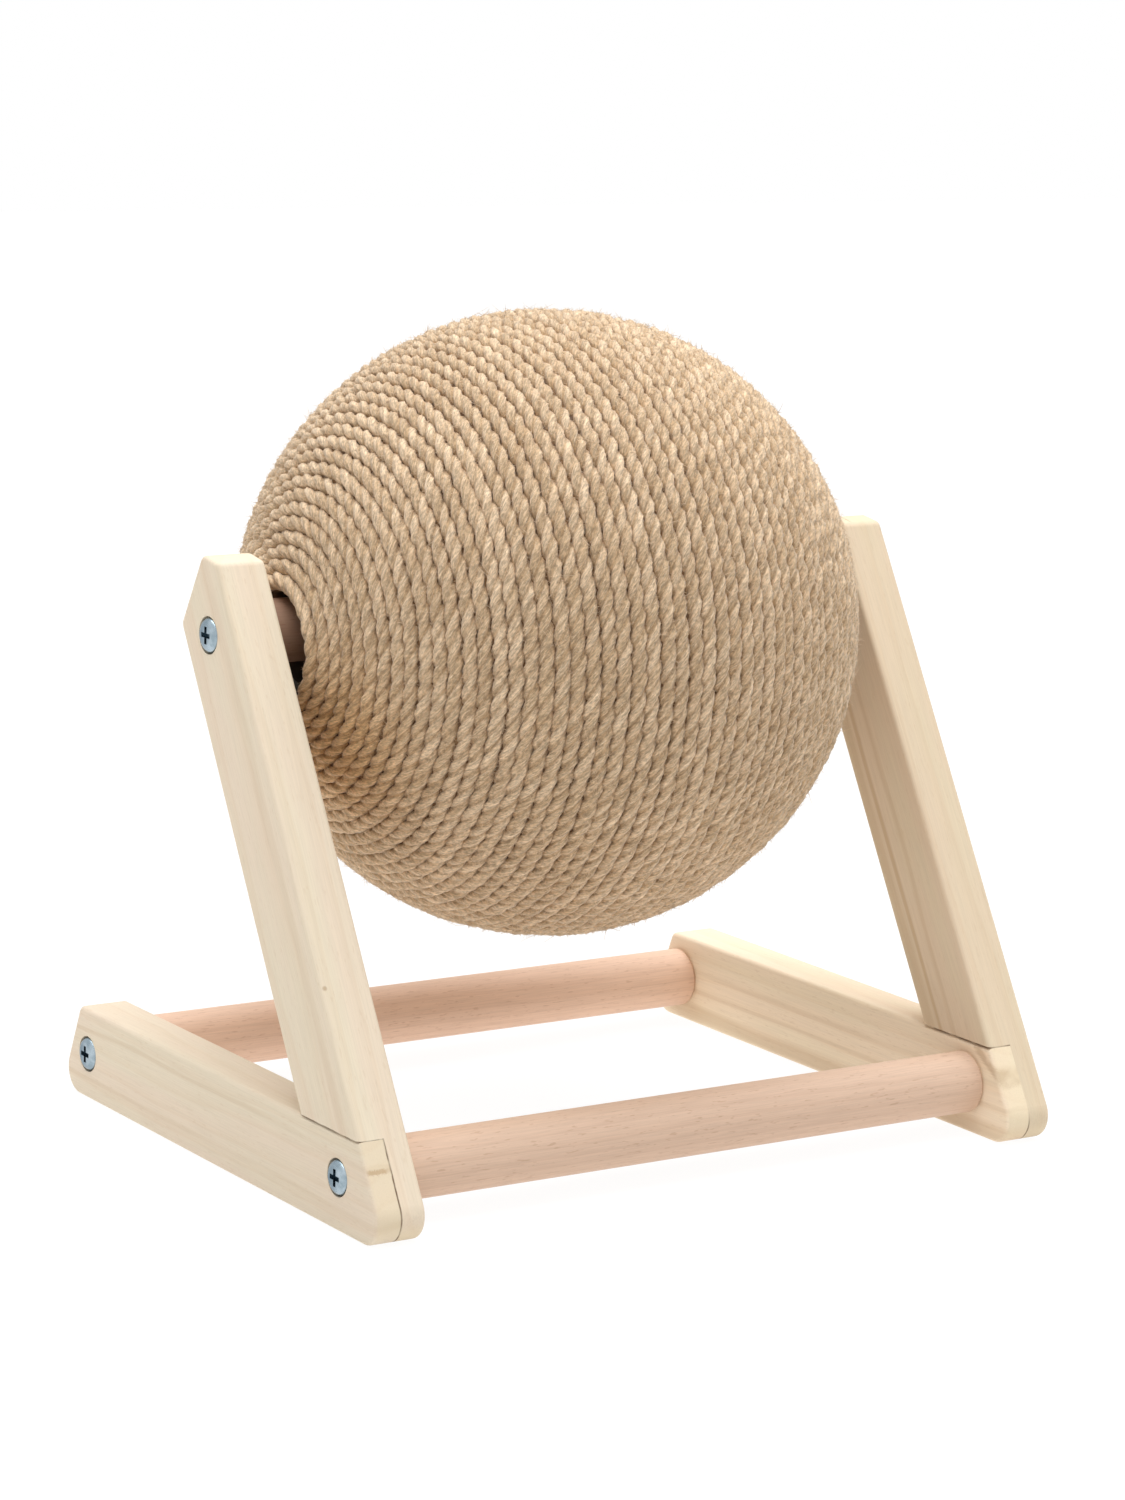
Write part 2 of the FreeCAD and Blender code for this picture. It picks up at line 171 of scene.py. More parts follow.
def shown_apart(tree, lighting, seen):
    """One shader for the light that falls on the object, and another for rays that come straight from
    the camera or off something shiny or clear."""
    path = put(tree, "LightPath").outputs
    direct = math_step(tree, "MAXIMUM", path["Is Camera Ray"], path["Is Glossy Ray"])
    direct = math_step(tree, "MAXIMUM", direct, path["Is Transmission Ray"])
    return put(tree, "MixShader", {0: direct, 1: lighting.outputs[0], 2: seen.outputs[0]}).outputs[0]


world = bpy.data.worlds.new("studio")
scene.world = world
sky = empty_tree(world)
upness = axes_of(sky, put(sky, "TexCoord").outputs["Generated"])[2]
brightness = ramped(sky, upness, 0.0, 1.0, HORIZON, OVERHEAD)
soft_light = put(sky, "Background", {"Color": WARM_WHITE, "Strength": brightness})
white_room = put(sky, "Background", {"Color": WHITE, "Strength": 1.0})
put(sky, "OutputWorld", {"Surface": shown_apart(sky, soft_light, white_room)})
print("sky:", len(sky.nodes), "nodes")

# %% [markdown]
# ## A paper floor
#
# The floor is a sheet of white paper. It throws light up at the object, more from the back than from the
# front. To the camera it glows almost white by itself and keeps only a faint shadow, so that the object
# still stands on something. `make_mesh` turns whole numpy arrays into a mesh with foreach_set, which is
# far quicker than adding points one at a time.

# %% Lay the floor
FLOOR_HALF, FLOOR_DROP = 4.0, 0.2 * MM
PAPER, SEEN_PAPER = (0.5, 0.495, 0.485, 1.0), (0.12, 0.118, 0.115, 1.0)
NEAR_EDGE, FAR_EDGE = -0.5, 0.9
NEAR_GLOW, FAR_GLOW, SEEN_GLOW = 0.38, 1.3, 0.93


def make_mesh(name, points, faces, caps=(), **attributes):
    """A mesh object from an array of points and one of quads or triangles, with flat end caps and with
    attributes that give each point a number or a vector."""
    faces = np.asarray(faces)
    corners = np.concatenate([faces.ravel(), *[np.asarray(cap) for cap in caps]])
    sizes = np.concatenate([np.full(len(faces), faces.shape[1]), [len(cap) for cap in caps]])
    starts = np.concatenate([[0], np.cumsum(sizes)[:-1]])
    mesh = bpy.data.meshes.new(name)
    mesh.vertices.add(len(points))
    mesh.vertices.foreach_set("co", np.asarray(points, np.float32).ravel())
    mesh.loops.add(len(corners))
    mesh.loops.foreach_set("vertex_index", corners.astype(np.int32))
    mesh.polygons.add(len(sizes))
    mesh.polygons.foreach_set("loop_start", starts.astype(np.int32))
    mesh.polygons.foreach_set("use_smooth", np.arange(len(sizes)) < len(faces))
    for label, values in attributes.items():
        values = np.asarray(values, np.float32)
        kind, field = ("FLOAT", "value") if values.ndim == 1 else ("FLOAT_VECTOR", "vector")
        mesh.attributes.new(label, kind, "POINT").data.foreach_set(field, values.ravel())
    mesh.update(calc_edges=True)
    mesh.validate()
    piece = bpy.data.objects.new(name, mesh)
    scene.collection.objects.link(piece)
    return piece


def glowing(tree, color, glow_color, strength):
    """A dull surface that also gives off light."""
    dull = put(tree, "BsdfDiffuse", {"Color": color})
    glow = put(tree, "Emission", {"Color": glow_color, "Strength": strength})
    return put(tree, "AddShader", {0: dull.outputs[0], 1: glow.outputs[0]})


edge = np.array([-FLOOR_HALF, FLOOR_HALF])
floor_x, floor_y = np.meshgrid(edge, edge)
floor_points = np.column_stack([floor_x.ravel(), floor_y.ravel(), np.full(4, -FLOOR_DROP)])
floor = make_mesh("floor", floor_points, [[0, 1, 3, 2]])
paper = bpy.data.materials.new("studio_paper")
sheet = empty_tree(paper)
backward = axes_of(sheet, object_place(sheet))[1]
paper_glow = ramped(sheet, backward, NEAR_EDGE, FAR_EDGE, NEAR_GLOW, FAR_GLOW)
lit_paper = glowing(sheet, PAPER, WARM_WHITE, paper_glow)
seen_paper = glowing(sheet, SEEN_PAPER, WHITE, SEEN_GLOW)
put(sheet, "OutputMaterial", {"Surface": shown_apart(sheet, lit_paper, seen_paper)})
floor.data.materials.append(paper)
print("floor", 2 * FLOOR_HALF, "m wide")

# %% [markdown]
# ## One wide lamp
#
# One square lamp hangs above and gives what faces up about as much light again as the sky does. It is
# much wider than the object, so its shadows have no edge. A small lamp would make the rope look hard.

# %% Hang the lamp
LAMP_PLACE, LAMP_AIM = np.array([0.15, 0.0, 2.3]), np.array([0.0, 0.0, 0.12])
LAMP_SIZE, LAMP_POWER, LAMP_COLOR = 2.4, 62.5, (0.955, 0.98, 1.0)
lamp = bpy.data.lights.new("top_softbox", "AREA")
lamp.size = LAMP_SIZE
lamp.energy = LAMP_POWER
lamp.color = LAMP_COLOR
softbox = bpy.data.objects.new("top_softbox", lamp)
lamp_back = unit(LAMP_PLACE - LAMP_AIM)
lamp_side = unit(np.cross(UP, lamp_back))
softbox.matrix_world = standing(LAMP_PLACE, lamp_side, np.cross(lamp_back, lamp_side), lamp_back)
scene.collection.objects.link(softbox)
print("lamp", LAMP_SIZE, "m wide,", LAMP_PLACE[2], "m up")

# %% [markdown]
# ## Wood figure
#
# The bars are pale softwood and the dowels a pinkish hardwood. Wood is solid all the way through, so its
# figure is worked out in space, not painted on each face: growth rings are circles round the trunk's
# middle, some way off the bar, and show as lines along a face and arcs on an end. A node group does this
# once. It expects the piece's length along Z, so each material turns its coordinates first. The values
# named GRAIN say how often a noise changes in a millimetre, across the grain and along it.

# %% Build the wood figure group
IN_MM = (1000.0, 1000.0, 1000.0)
MEASURES = ("LENGTH", "DISTANCE", "DOT_PRODUCT")
SWAY_GRAIN, THREAD_GRAIN, TICK_GRAIN, PATCH_GRAIN = (0.05, 0.008), (1.0, 0.025), (1.6, 0.28), (0.09, 0.012)
TRUNK_TAPER = 0.012
RING_SHARPNESS, RING_END = 3.0, 0.88


def vector_step(tree, operation, first, second=(0.0, 0.0, 0.0)):
    """One step of arithmetic on two vectors: a number where the operation measures, else a vector."""
    made = put(tree, "VectorMath", {0: first, 1: second}, operation=operation)
    return made.outputs["Value" if operation in MEASURES else "Vector"]


def stretched(tree, vector, across, along):
    """Coordinates scaled by one number across the grain and another along it."""
    return vector_step(tree, "MULTIPLY", vector, (across, across, along))


def noise(tree, place, scale=1.0, detail=2.0, roughness=0.5):
    """A cloudy value round one half."""
    sockets = {"Vector": place, "Scale": scale, "Detail": detail, "Roughness": roughness}
    return put(tree, "TexNoise", sockets).outputs[0]


def new_group(name, inputs, outputs):
    """An empty node group with sockets given as {name: kind}, the wires that come in, and its way out."""
    group = bpy.data.node_groups.new(name, "ShaderNodeTree")
    for way, sockets in (("INPUT", inputs), ("OUTPUT", outputs)):
        for label, kind in sockets.items():
            group.interface.new_socket(label, in_out=way, socket_type="NodeSocket" + kind)
    return group, group.nodes.new("NodeGroupInput").outputs, group.nodes.new("NodeGroupOutput").inputs


wood_inputs = {"Place": "Vector", "Trunk": "Vector", "Ring Gap": "Float", "Wander": "Float", "Fibre": "Float"}
wood_outputs = {"Ring": "Float", "Fibre": "Float", "Fleck": "Float", "Patch": "Float"}
wood, given, result = new_group("wood_figure", wood_inputs, wood_outputs)
in_mm = vector_step(wood, "MULTIPLY", given["Place"], IN_MM)
sway = math_step(wood, "SUBTRACT", noise(wood, stretched(wood, in_mm, *SWAY_GRAIN)), 0.5)
sway = math_step(wood, "MULTIPLY", sway, given["Wander"])
from_trunk = vector_step(wood, "ADD", in_mm, given["Trunk"])
ring_radius = vector_step(wood, "LENGTH", stretched(wood, from_trunk, 1.0, TRUNK_TAPER))
years = math_step(wood, "DIVIDE", math_step(wood, "ADD", ring_radius, sway), given["Ring Gap"])
season = math_step(wood, "FRACT", years)
summer = math_step(wood, "POWER", season, RING_SHARPNESS)
winter = ramped(wood, season, RING_END, 1.0, 1.0, 0.0)
thread_place = vector_step(wood, "MULTIPLY", stretched(wood, in_mm, *THREAD_GRAIN), given["Fibre"])
ticks = noise(wood, stretched(wood, in_mm, *TICK_GRAIN), detail=1.0)
wood_wires = {"Ring": math_step(wood, "MULTIPLY", summer, winter),
              "Fibre": noise(wood, thread_place, detail=3.0, roughness=0.6),
              "Fleck": ramped(wood, ticks, 0.63, 0.72),
              "Patch": noise(wood, stretched(wood, in_mm, *PATCH_GRAIN), detail=1.0)}
for label, wire in wood_wires.items():
    wood.links.new(wire, result[label])
print("wood figure group:", len(wood.nodes), "nodes")

# %% [markdown]
# ## Brown lines
#
# Where a rail and an upright are half-lapped, a thin brown line shows: a hair of open joint with glue and
# dust in it, wider here and narrower there. It could be cut into the solids, but it is thinner than a saw
# cut, so it is drawn by the wood's own material: a small group turns the distance from the joint's plane
# into a mask, and noise lets it fade in places. The same mask draws single dark grain lines and the brown
# marks on two of the corners.

# %% Build the brown line group
LINE_FILL = 1.6
FADE_SCALE, FADED = 150.0, 0.35
line_inputs = {"Place": "Vector", "Distance": "Float", "Width": "Float", "Limit": "Float"}
brown_line, given, result = new_group("brown_line", line_inputs, {"Line": "Float"})
apart = math_step(brown_line, "ABSOLUTE", given["Distance"])
apart = math_step(brown_line, "DIVIDE", apart, given["Width"])
shade = math_step(brown_line, "SUBTRACT", 1.0, apart, clamp=True)
shade = math_step(brown_line, "MULTIPLY", shade, LINE_FILL, clamp=True)
fading = ramped(brown_line, noise(brown_line, given["Place"], FADE_SCALE), 0.34, 0.56, FADED, 1.0)
shade = math_step(brown_line, "MULTIPLY", shade, fading)
brown_line.links.new(math_step(brown_line, "MULTIPLY", shade, given["Limit"]), result["Line"])
print("brown line group:", len(brown_line.nodes), "nodes")

# %% [markdown]
# ## Helpers for materials
#
# The object's materials all end in Blender's Principled shader and differ in what is wired to it: a
# colour, a roughness, and a bump that bends the light where the surface is too fine to model. Colours
# are built up in layers, each mixed over the last one by a mask.

# %% Define the helpers for materials
LOWER_COLOR, UPPER_COLOR, MIXED_COLOR = 6, 7, 2


def new_finish(name):
    """An empty material, its node tree, and a Principled shader wired to its output."""
    finish = bpy.data.materials.new(name)
    tree = empty_tree(finish)
    shader = put(tree, "BsdfPrincipled")
    put(tree, "OutputMaterial", {"Surface": shader.outputs[0]})
    return finish, tree, shader


def dress(tree, shader, color, roughness, height, strength, depth):
    """Wires a colour, a roughness and a bump to the shader. The bump's height has a strength and a depth."""
    bump = put(tree, "Bump", {"Strength": strength, "Distance": depth, "Height": height})
    for socket, wire in (("Base Color", color), ("Roughness", roughness), ("Normal", bump.outputs[0])):
        tree.links.new(wire, shader.inputs[socket])


def blended(tree, share, lower, upper, way="MIX"):
    """Two colours mixed by a share between 0 and 1."""
    mix = put(tree, "Mix", {"Factor": share}, data_type="RGBA", blend_type=way)
    for index, color in ((LOWER_COLOR, lower), (UPPER_COLOR, upper)):
        fill(tree, mix.inputs[index], (*color, 1.0) if isinstance(color, tuple) else color)
    return mix.outputs[MIXED_COLOR]


def over(tree, mask, strength, lower, upper):
    """A colour laid over another where a mask is, at a strength."""
    return blended(tree, math_step(tree, "MULTIPLY", mask, strength), lower, upper)


def toned(tree, color, level):
    """A colour made lighter or darker by a level."""
    grey = put(tree, "CombineColor", {0: level, 1: level, 2: level}).outputs[0]
    return blended(tree, 1.0, color, grey, "MULTIPLY")


def place_group(tree, group, **sockets):
    """A group as one node of a material, with its own values and wires. A socket's underscore is a space."""
    sockets = {label.replace("_", " "): value for label, value in sockets.items()}
    return put(tree, "Group", sockets, node_tree=group).outputs


def give(node, finish):
    """Puts a material in every slot of a carried-over solid."""
    for slot in nodes[node].material_slots:
        slot.material = finish


print("helpers for materials ready")

# %% [markdown]
# ## Pine
#
# The bars are planed, sanded softwood without varnish: cream, with weak lines along the bar, a few
# faintly pink or yellow patches, and a yellower end grain. The figure runs along each bar, so a rail's
# coordinates are turned by a right angle and an upright's by its lean. Single dark grain lines are listed
# with each bar as a place across it, a width and a strength, because no noise puts them where they are.

# %% Colour the pine
PALE, LATE, END_YELLOW = (0.769, 0.662, 0.524), (0.69, 0.53, 0.365), (0.74, 0.62, 0.43)
PINKISH, YELLOWISH = (1.0, 0.98, 0.975), (0.985, 1.0, 0.98)
FLECK_BROWN, VEIN_BROWN = (0.55, 0.38, 0.22), (0.52, 0.36, 0.20)
PINE_FIGURE = {"Trunk": (34.0, 46.0, 30.0), "Ring_Gap": 6.5, "Wander": 9.0, "Fibre": 2.2}
RING_SHARE, FLECK_SHARE, END_SHARE = 0.34, 0.16, 0.55
VEIN_GRAIN, VEIN_SWAY = (0.5, 0.06), 5.0


def along_bar(tree, bar):
    """Where a point lies in a bar: its turned place, its place in mm, the figure there, and how much the
    face looks along the bar, which is 1 on end grain and 0 on the sides."""
    coordinates = put(tree, "TexCoord").outputs
    turning = {"Vector": coordinates["Object"], "Rotation": (bar["turn"], 0.0, 0.0), "Location": bar["shift"]}
    turned = put(tree, "Mapping", turning).outputs[0]
    in_mm = vector_step(tree, "MULTIPLY", coordinates["Object"], IN_MM)
    x, y, z = axes_of(tree, in_mm)
    bar_way = (0.0, math.sin(bar["turn"]), math.cos(bar["turn"]))
    facing = math_step(tree, "ABSOLUTE", vector_step(tree, "DOT_PRODUCT", coordinates["Normal"], bar_way))
    figure = place_group(tree, wood, Place=turned, **PINE_FIGURE)
    return SimpleNamespace(turned=turned, in_mm=in_mm, x=x, y=y, z=z, figure=figure,
                           end_grain=ramped(tree, facing, 0.55, 0.95))


def lined(tree, color, brown, **line):
    """The colour with one brown line over it."""
    return blended(tree, place_group(tree, brown_line, **line)["Line"], color, brown)


def plain_pine(tree, spot, bar):
    """The colour of a bar: rings, patches, its own tint, streaks, flecks, dark grain lines and end grain."""
    color = over(tree, spot.figure["Ring"], RING_SHARE, PALE, LATE)
    patch = blended(tree, ramped(tree, spot.figure["Patch"], 0.35, 0.7), PINKISH, YELLOWISH)
    for tint in (patch, bar["tint"]):
        color = blended(tree, 1.0, color, tint, "MULTIPLY")
    color = toned(tree, color, ramped(tree, spot.figure["Fibre"], 0.3, 0.75, 1.025, 0.955))
    color = over(tree, spot.figure["Fleck"], FLECK_SHARE, color, FLECK_BROWN)
    across = math_step(tree, "SUBTRACT", axes_of(tree, spot.turned)[1], bar["shift"][1])
    sway = math_step(tree, "MULTIPLY", math_step(tree, "SUBTRACT", spot.figure["Patch"], 0.5), VEIN_SWAY)
    across = math_step(tree, "ADD", math_step(tree, "MULTIPLY", across, 1 / MM), sway)
    vein_place = stretched(tree, spot.turned, *VEIN_GRAIN)
    for offset, width, strength in bar["veins"]:
        away = math_step(tree, "SUBTRACT", across, offset)
        color = lined(tree, color, VEIN_BROWN, Place=vein_place, Distance=away, Width=width, Limit=strength)
    return over(tree, spot.end_grain, END_SHARE, color, END_YELLOW)


print("pine rings", PINE_FIGURE["Ring_Gap"], "mm apart")

# %% [markdown]
# ## Joints and marks on the bars
#
# Each bar also has marks of its own. A rail's butt line follows the back of the upright, and an upright's
# follows the top of the rail. The line of the lap itself runs down the front. On the right it is open only
# near the floor. Each rail has one brown mark at its front, level on the left and climbing on the right,
# and the left upright has a pin knot. The climbing mark is partly a brown mark and partly painted shade
# along the top of the front dowel. Places are in millimetres.

# %% Draw the joints and marks
LEAN = math.radians(30.0)
rail_low, rail_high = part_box("right_rail")
LAP, RAIL_TOP = (rail_low.x + rail_high.x) / 2 / MM, rail_high.z / MM
UPRIGHT_DEPTH, UPRIGHT_BACK = (0.0, math.cos(LEAN), -math.sin(LEAN)), -64.95
CORNER_BACK, MARK_FRONT = -84.0, -97.5
FOOT_LOW, FOOT_HIGH = 2.0, 14.0
LAP_WIDTH, ON_LAP, OVER_TOP = 0.38, 0.05, 0.3
MARK_WAVE = 1.6
DUST, MARK_BROWN, KNOT_BROWN = (0.14, 0.075, 0.035), (0.44, 0.28, 0.14), (0.45, 0.31, 0.18)


def with_knots(tree, color, spot, knots):
    """The colour with small round knots, each given as its middle and its radius."""
    for *middle, radius in knots:
        away = vector_step(tree, "DISTANCE", spot.in_mm, middle)
        mask = ramped(tree, away, 0.5 * radius, 1.5 * radius, 0.7, 0.0)
        color = blended(tree, mask, color, KNOT_BROWN)
    return color


def with_mark(tree, color, spot, at_corner, mark):
    """The colour with a rail's brown mark, as (height, slope, width, strength). A level one shows only on
    end grain."""
    height, slope, width, strength = mark
    limit = math_step(tree, "MULTIPLY", at_corner, strength)
    if not slope:
        limit = math_step(tree, "MULTIPLY", limit, spot.end_grain)
    climb = math_step(tree, "MULTIPLY", math_step(tree, "SUBTRACT", spot.y, MARK_FRONT), slope)
    waved = math_step(tree, "ADD", spot.z, math_step(tree, "MULTIPLY", spot.figure["Fibre"], MARK_WAVE))
    away = math_step(tree, "SUBTRACT", math_step(tree, "SUBTRACT", waved, climb), height)
    return lined(tree, color, MARK_BROWN, Place=spot.turned, Distance=away, Width=width, Limit=limit)


def with_joint(tree, color, spot, at_corner, bar):
    """The colour with the two brown lines of a bar's half-lap: where it butts, and down the lap."""
    from_lap = math_step(tree, "SUBTRACT", spot.x, bar["lap"])
    if bar["is_rail"]:
        behind = vector_step(tree, "DOT_PRODUCT", spot.in_mm, UPRIGHT_DEPTH)
        from_butt = math_step(tree, "SUBTRACT", behind, UPRIGHT_BACK)
        butt_limit = math_step(tree, "GREATER_THAN", from_lap, -ON_LAP)
        lap_limit = at_corner
    else:
        from_butt = math_step(tree, "SUBTRACT", spot.z, RAIL_TOP)
        butt_limit = math_step(tree, "LESS_THAN", from_lap, ON_LAP)
        lap_limit = math_step(tree, "LESS_THAN", from_butt, OVER_TOP)
    openness = ramped(tree, spot.z, FOOT_LOW, FOOT_HIGH, 1.0, bar["open_above"])
    lap_limit = math_step(tree, "MULTIPLY", lap_limit, openness)
    for distance, width, limit in ((from_butt, bar["butt"], butt_limit), (from_lap, LAP_WIDTH, lap_limit)):
        color = lined(tree, color, DUST, Place=spot.turned, Distance=distance, Width=width, Limit=limit)
    return color


print(f"lap {LAP:.1f} mm from the middle, rails {RAIL_TOP:.1f} mm high")

# %% [markdown]
# ## Four bars
#
# No two bars were cut from the same board, so each takes its figure from another place, its shift in
# metres, and has a tint and a width of butt line of its own. The right rail's tint, lighter than the wood,
# is painted light for a rail that lies in the ball's shade. What the left or the right bars share, and
# the rails or the uprights, is written once.

# %% Give the bars pine
WOOD_SHINE = 0.3
RAIL, UPRIGHT = {"turn": math.pi / 2, "is_rail": True}, {"turn": LEAN, "is_rail": False}
LEFT, RIGHT = {"lap": -LAP, "open_above": 1.0}, {"lap": LAP, "open_above": 0.0}
BARS = {
    "left_rail": {**RAIL, **LEFT, "shift": (0.11, 0.02, 0.3), "tint": (0.985, 0.985, 0.99), "butt": 0.38,
                  "veins": [(-23.0, 1.1, 0.26), (-7.2, 1.2, 0.2)], "mark": (22.65, 0.0, 0.9, 0.7)},
    # the right rail's tint above one is painted light: it lifts a rail that lies in the ball's shade
    "right_rail": {**RAIL, **RIGHT, "shift": (-0.17, 0.05, 0.9), "tint": (1.18, 1.165, 1.13), "butt": 0.5,
                   "veins": [(-3.5, 3.5, 0.35), (-12.0, 1.2, 0.2), (-19.0, 1.2, 0.2)],
                   # this climbing mark is partly painted shade along the top of the front dowel
                   "mark": (21.8, 0.667, 2.2, 0.45)},
    "left_upright": {**UPRIGHT, **LEFT, "shift": (0.135, 0.01, 1.7), "tint": (1.0, 1.0, 1.0), "butt": 0.3,
                     "veins": [(-87.5, 3.0, 0.22)], "knots": [(-123.95, -68.4, 70.9, 0.7)]},
    "right_upright": {**UPRIGHT, **RIGHT, "shift": (-0.09, 0.04, 2.4), "tint": (0.915, 0.875, 0.813),
                      "butt": 0.5, "veins": [(-73.0, 1.5, 0.6), (-68.0, 3.5, 0.35), (-80.0, 1.5, 0.3)]},
}


def pine(name, bar):
    """Pine whose figure runs along a bar, with the bar's own marks and joint lines."""
    finish, tree, shader = new_finish(name)
    spot = along_bar(tree, bar)
    at_corner = math_step(tree, "LESS_THAN", spot.y, CORNER_BACK)
    color = with_knots(tree, plain_pine(tree, spot, bar), spot, bar.get("knots", ()))
    if bar["is_rail"]:
        color = with_mark(tree, color, spot, at_corner, bar["mark"])
    color = with_joint(tree, color, spot, at_corner, bar)
    roughness = ramped(tree, spot.figure["Fibre"], 0.2, 0.8, 0.56, 0.7)
    ridges = math_step(tree, "MULTIPLY", spot.figure["Ring"], 0.4)
    height = math_step(tree, "ADD", ridges, spot.figure["Fibre"])
    dress(tree, shader, color, roughness, height, strength=0.25, depth=0.12 * MM)
    shader.inputs["Specular IOR Level"].default_value = WOOD_SHINE
    return finish


for name, bar in BARS.items():
    give(name, pine("pine_" + name, bar))
print("pine on", list(BARS))

# %% [markdown]
# ## Beech for the three dowels
#
# The dowels are turned hardwood, pinker than the bars, with close short flecks along their length. The
# same figure group does it, with narrow rings and stronger flecks. The rear dowel is painted a little
# paler, as painted light where the ball shades it, and the axle dowel is painted browner, as painted shade
# in the gap between the ball and the upright.

# %% Give the dowels beech
BEECH, BEECH_LATE, BEECH_FLECK = (0.69, 0.495, 0.372), (0.56, 0.37, 0.262), (0.5, 0.31, 0.21)
BEECH_RING_SHARE, BEECH_FLECK_SHARE = 0.4, 0.5
BEECH_FIGURE = {"Trunk": (25.0, 60.0, 0.0), "Ring_Gap": 3.2, "Wander": 5.0, "Fibre": 3.0}
DOWEL_TURN = (0.0, -math.pi / 2, 0.0)
# the rear dowel's tint is painted light for a dowel in the ball's shade; the axle's is painted shade of the
# gap
BARE, PAINTED_UNDER_BALL_LIGHT, PAINTED_GAP_SHADE = (1.0, 1.0, 1.0), (1.12, 1.09, 1.09), (0.5, 0.42, 0.38)
DOWELS = {"front_dowel": ((0.4, 0.1, 0.2), BARE), "rear_dowel": ((0.7, 0.2, 1.1), PAINTED_UNDER_BALL_LIGHT),
          "axle_dowel": ((0.2, 0.5, 2.0), PAINTED_GAP_SHADE)}


def beech(name, shift, painted_tone):
    """Beech whose figure runs along X, the way of the dowels, made paler with painted light, browner with
    painted shade.
    """
    finish, tree, shader = new_finish(name)
    turning = {"Vector": object_place(tree), "Rotation": DOWEL_TURN, "Location": shift}
    figure = place_group(tree, wood, Place=put(tree, "Mapping", turning).outputs[0], **BEECH_FIGURE)
    color = over(tree, figure["Ring"], BEECH_RING_SHARE, BEECH, BEECH_LATE)
    color = over(tree, figure["Fleck"], BEECH_FLECK_SHARE, color, BEECH_FLECK)
    color = toned(tree, color, ramped(tree, figure["Fibre"], 0.3, 0.75, 1.05, 0.93))
    # the rear dowel's painted light and the axle dowel's painted shade are multiplied in here
    color = blended(tree, 1.0, color, painted_tone, "MULTIPLY")
    roughness = ramped(tree, figure["Fibre"], 0.2, 0.8, 0.5, 0.66)
    dress(tree, shader, color, roughness, figure["Fibre"], strength=0.25, depth=0.1 * MM)
    shader.inputs["Specular IOR Level"].default_value = WOOD_SHINE
    return finish


for dowel, (shift, painted_tone) in DOWELS.items():
    give(dowel, beech("beech_" + dowel, shift, painted_tone))
print("beech on", sorted(DOWELS))

# %% [markdown]
# ## Zinc for the screws
#
# The screws have a thin bluish zinc plate that is bright but not a mirror: fine turning marks run round
# the head, the plate is a little cloudy, and the cross-shaped recess is dull and painted dark as shade.
# Each head is painted darker towards the rear, a painted dark reflection on the dome. The marks and the
# recess need the screw's own axis. A left and a right screw share one, so three materials do for six.

# %% Give the screws zinc
PLATE_DARK, PLATE_LIGHT = (0.29, 0.37, 0.42), (0.46, 0.55, 0.61)
# a painted dark reflection for the rear of each head, and painted shade for the recess
PAINTED_REAR_REFLECTION, RECESS_PAINTED_SHADE = (0.12, 0.18, 0.23), (0.11, 0.16, 0.19)
RECESS_DEEP, RECESS_SHALLOW = 1.1 * MM, 0.4 * MM
RECESS_INNER, RECESS_OUTER = 2.5 * MM, 3.0 * MM
HEAD_FADE, REAR_REFLECTION_SHARE = 3.5 * MM, 0.75
CLOUD_SCALE, MARKS_OUTWARD, MARKS_INWARD = 300.0, 5200.0, 900.0


def zinc(name, low, high):
    """Zinc plate round an axis along X, from a screw's box: rings of marks, a recess in painted shade, a
    painted dark reflection at the rear.
    """
    finish, tree, shader = new_finish(name)
    place = object_place(tree)
    from_axis = vector_step(tree, "SUBTRACT", place, (0.0, (low.y + high.y) / 2, (low.z + high.z) / 2))
    radius = vector_step(tree, "LENGTH", vector_step(tree, "MULTIPLY", from_axis, (0.0, 1.0, 1.0)))
    outward = math_step(tree, "ABSOLUTE", axes_of(tree, place)[0])
    top = max(abs(low.x), abs(high.x))
    sunk = ramped(tree, outward, top - RECESS_DEEP, top - RECESS_SHALLOW, 1.0, 0.0)
    near_axis = ramped(tree, radius, RECESS_INNER, RECESS_OUTER, 1.0, 0.0)
    plate = blended(tree, ramped(tree, noise(tree, place, CLOUD_SCALE), 0.3, 0.7), PLATE_DARK, PLATE_LIGHT)
    rearward = axes_of(tree, from_axis)[1]
    # painted dark reflection: each head darker towards the rear
    plate = blended(tree, ramped(tree, rearward, -HEAD_FADE, HEAD_FADE, 0.0, REAR_REFLECTION_SHARE), plate, PAINTED_REAR_REFLECTION)
    # painted shade in the cross recess
    color = over(tree, sunk, near_axis, plate, RECESS_PAINTED_SHADE)
    turning = put(tree, "CombineXYZ", {0: math_step(tree, "MULTIPLY", radius, MARKS_OUTWARD),
                                       1: math_step(tree, "MULTIPLY", outward, MARKS_INWARD)})
    marks = noise(tree, turning.outputs[0])
    roughness = ramped(tree, marks, 0.3, 0.7, 0.2, 0.36)
    dress(tree, shader, color, roughness, marks, strength=0.2, depth=0.04 * MM)
    shader.inputs["Metallic"].default_value = 1.0
    return finish


for end in ("front", "rear", "axle"):
    plated = zinc("zinc_" + end, *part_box(end + "_left_screw"))
    for side in ("left", "right"):
        give(f"{end}_{side}_screw", plated)
print("zinc on six screws")

# %% [markdown]
# ## Dull plastic for the core
#
# The core's two halves and the sleeve are hidden, except for a dark ring seen in the ball's mouths. They
# get a dark moulded plastic with a fine matt texture.

